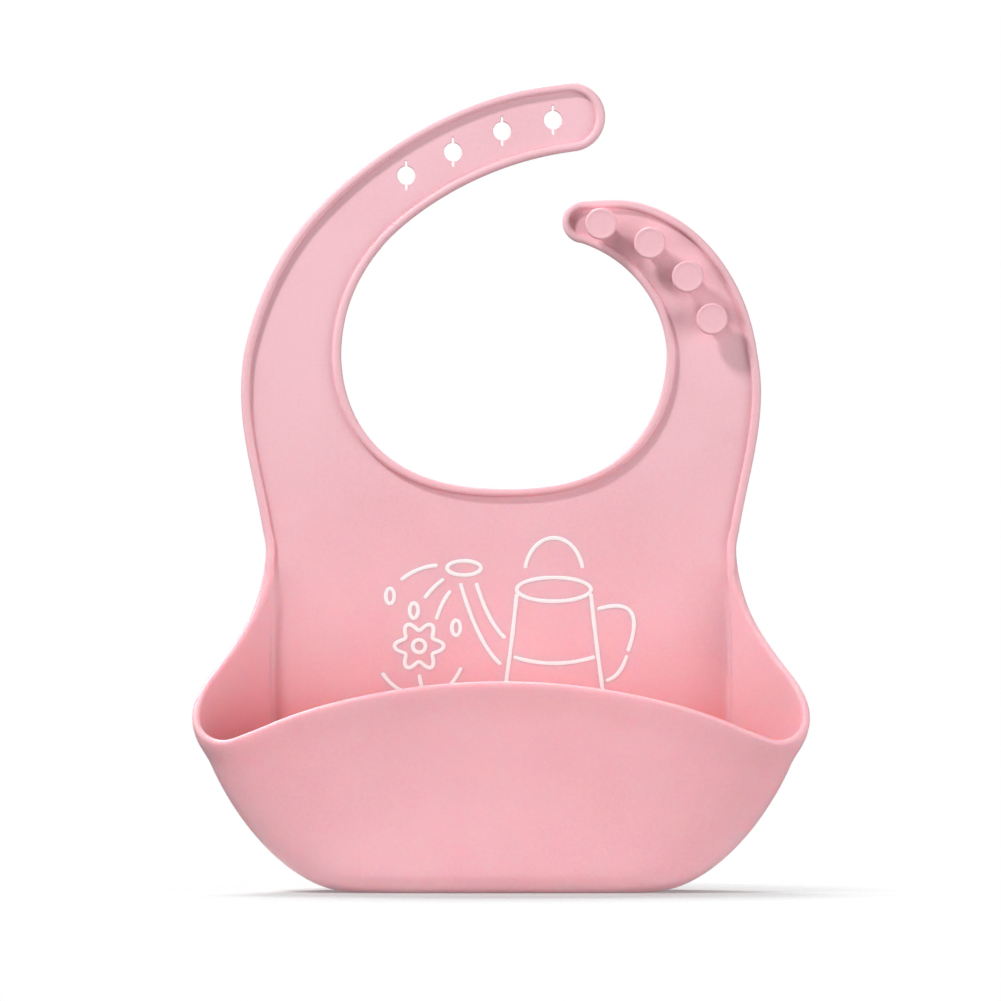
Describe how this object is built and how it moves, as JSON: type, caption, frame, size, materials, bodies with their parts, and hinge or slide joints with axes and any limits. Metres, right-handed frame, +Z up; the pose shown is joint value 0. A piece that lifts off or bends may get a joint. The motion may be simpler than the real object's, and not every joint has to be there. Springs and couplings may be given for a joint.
{
  "type": "silicone bib",
  "caption": "Moulded silicone bib with an open catch pocket at its foot, a raised rim, and a stud-and-hole neck strap in two flexible arms.",
  "frame": {"origin": "under the middle of the whole bib's width and depth, at the level of the pocket's flat base", "axes": "+X to the viewer's right as seen from the front, +Y from the pocket side towards the wearer, +Z up from the pocket to the neck strap"},
  "size_m": [0.2332, 0.0568, 0.3052],
  "materials": {
    "silicone_sheet": "satin moulded silicone",
    "silicone_trim": "satin moulded silicone, rounded rim",
    "ink": "matte printed ink"
  },
  "bodies": {
    "chest": {"chest_panel": "silicone_sheet", "neck_bead": "silicone_trim", "side_bead_left": "silicone_trim", "side_bead_right": "silicone_trim", "pocket_floor": "silicone_sheet", "pocket_side_left": "silicone_sheet", "pocket_side_right": "silicone_sheet", "pocket_side_lip_left": "silicone_trim", "pocket_side_lip_right": "silicone_trim", "pocket_gusset_left": "silicone_sheet", "pocket_gusset_right": "silicone_sheet", "pocket_gusset_lip_left": "silicone_trim", "pocket_gusset_lip_right": "silicone_trim", "pocket_base_flex": "silicone_sheet", "long_flex_root": "silicone_sheet", "short_flex_root": "silicone_sheet", "stud_4": "silicone_trim", "print_can": "ink", "print_can_handle": "ink", "print_can_spout": "ink", "print_water": "ink", "print_flower": "ink", "print_flower_stem": "ink"},
    "pocket_front": {"pocket_front_wall": "silicone_sheet", "pocket_front_lip": "silicone_trim"},
    "long_arm_1": {"long_link_1": "silicone_sheet", "long_link_1_beads": "silicone_trim", "long_flex_mid": "silicone_sheet"},
    "long_arm_2": {"long_link_2": "silicone_sheet", "long_link_2_beads": "silicone_trim", "long_flex_tip": "silicone_sheet"},
    "long_arm_3": {"long_link_3": "silicone_sheet", "long_link_3_bead": "silicone_trim"},
    "short_arm_1": {"short_link_1": "silicone_sheet", "short_link_1_beads": "silicone_trim", "short_flex_tip": "silicone_sheet", "stud_2": "silicone_trim", "stud_3": "silicone_trim"},
    "short_arm_2": {"short_link_2": "silicone_sheet", "short_link_2_bead": "silicone_trim", "stud_1": "silicone_trim"}
  },
  "joints": [
    {"name": "pocket_flex", "type": "hinge", "parent": "chest", "child": "pocket_front", "pos_m": [0, -0.00613, 0.001], "axis": [-1, 0, 0], "range_deg": [-10, 10], "stiffness_Nm_per_rad": 0.8, "deforming": ["pocket_gusset_left", "pocket_gusset_right", "pocket_gusset_lip_left", "pocket_gusset_lip_right", "pocket_base_flex"]},
    {"name": "long_root_bend", "type": "hinge", "parent": "chest", "child": "long_arm_1", "pos_m": [-0.06936, 0.02738, 0.23135], "axis": [-0.8857, 0, 0.4642], "range_deg": [-20, 40], "stiffness_Nm_per_rad": 0.12, "deforming": ["long_flex_root"]},
    {"name": "long_mid_bend", "type": "hinge", "parent": "long_arm_1", "child": "long_arm_2", "pos_m": [-0.04491, 0.02738, 0.2615], "axis": [-0.6435, 0, 0.7655], "range_deg": [-20, 45], "stiffness_Nm_per_rad": 0.08, "deforming": ["long_flex_mid"]},
    {"name": "long_tip_bend", "type": "hinge", "parent": "long_arm_2", "child": "long_arm_3", "pos_m": [-0.00902, 0.02738, 0.28299], "axis": [-0.3791, 0, 0.9253], "range_deg": [-20, 45], "stiffness_Nm_per_rad": 0.05, "deforming": ["long_flex_tip"]},
    {"name": "short_root_bend", "type": "hinge", "parent": "chest", "child": "short_arm_1", "pos_m": [0.07357, 0.02738, 0.22318], "axis": [-0.8931, 0, -0.4499], "range_deg": [-20, 40], "stiffness_Nm_per_rad": 0.1, "deforming": ["short_flex_root"]},
    {"name": "short_tip_bend", "type": "hinge", "parent": "short_arm_1", "child": "short_arm_2", "pos_m": [0.04723, 0.02738, 0.24863], "axis": [-0.4051, 0, -0.9143], "range_deg": [-20, 40], "stiffness_Nm_per_rad": 0.04, "deforming": ["short_flex_tip"]}
  ],
  "couplings": [
    {"joint": "long_tip_bend", "follows": "long_mid_bend", "ratio": 1},
    {"joint": "short_tip_bend", "follows": "short_root_bend", "ratio": 1}
  ]
}
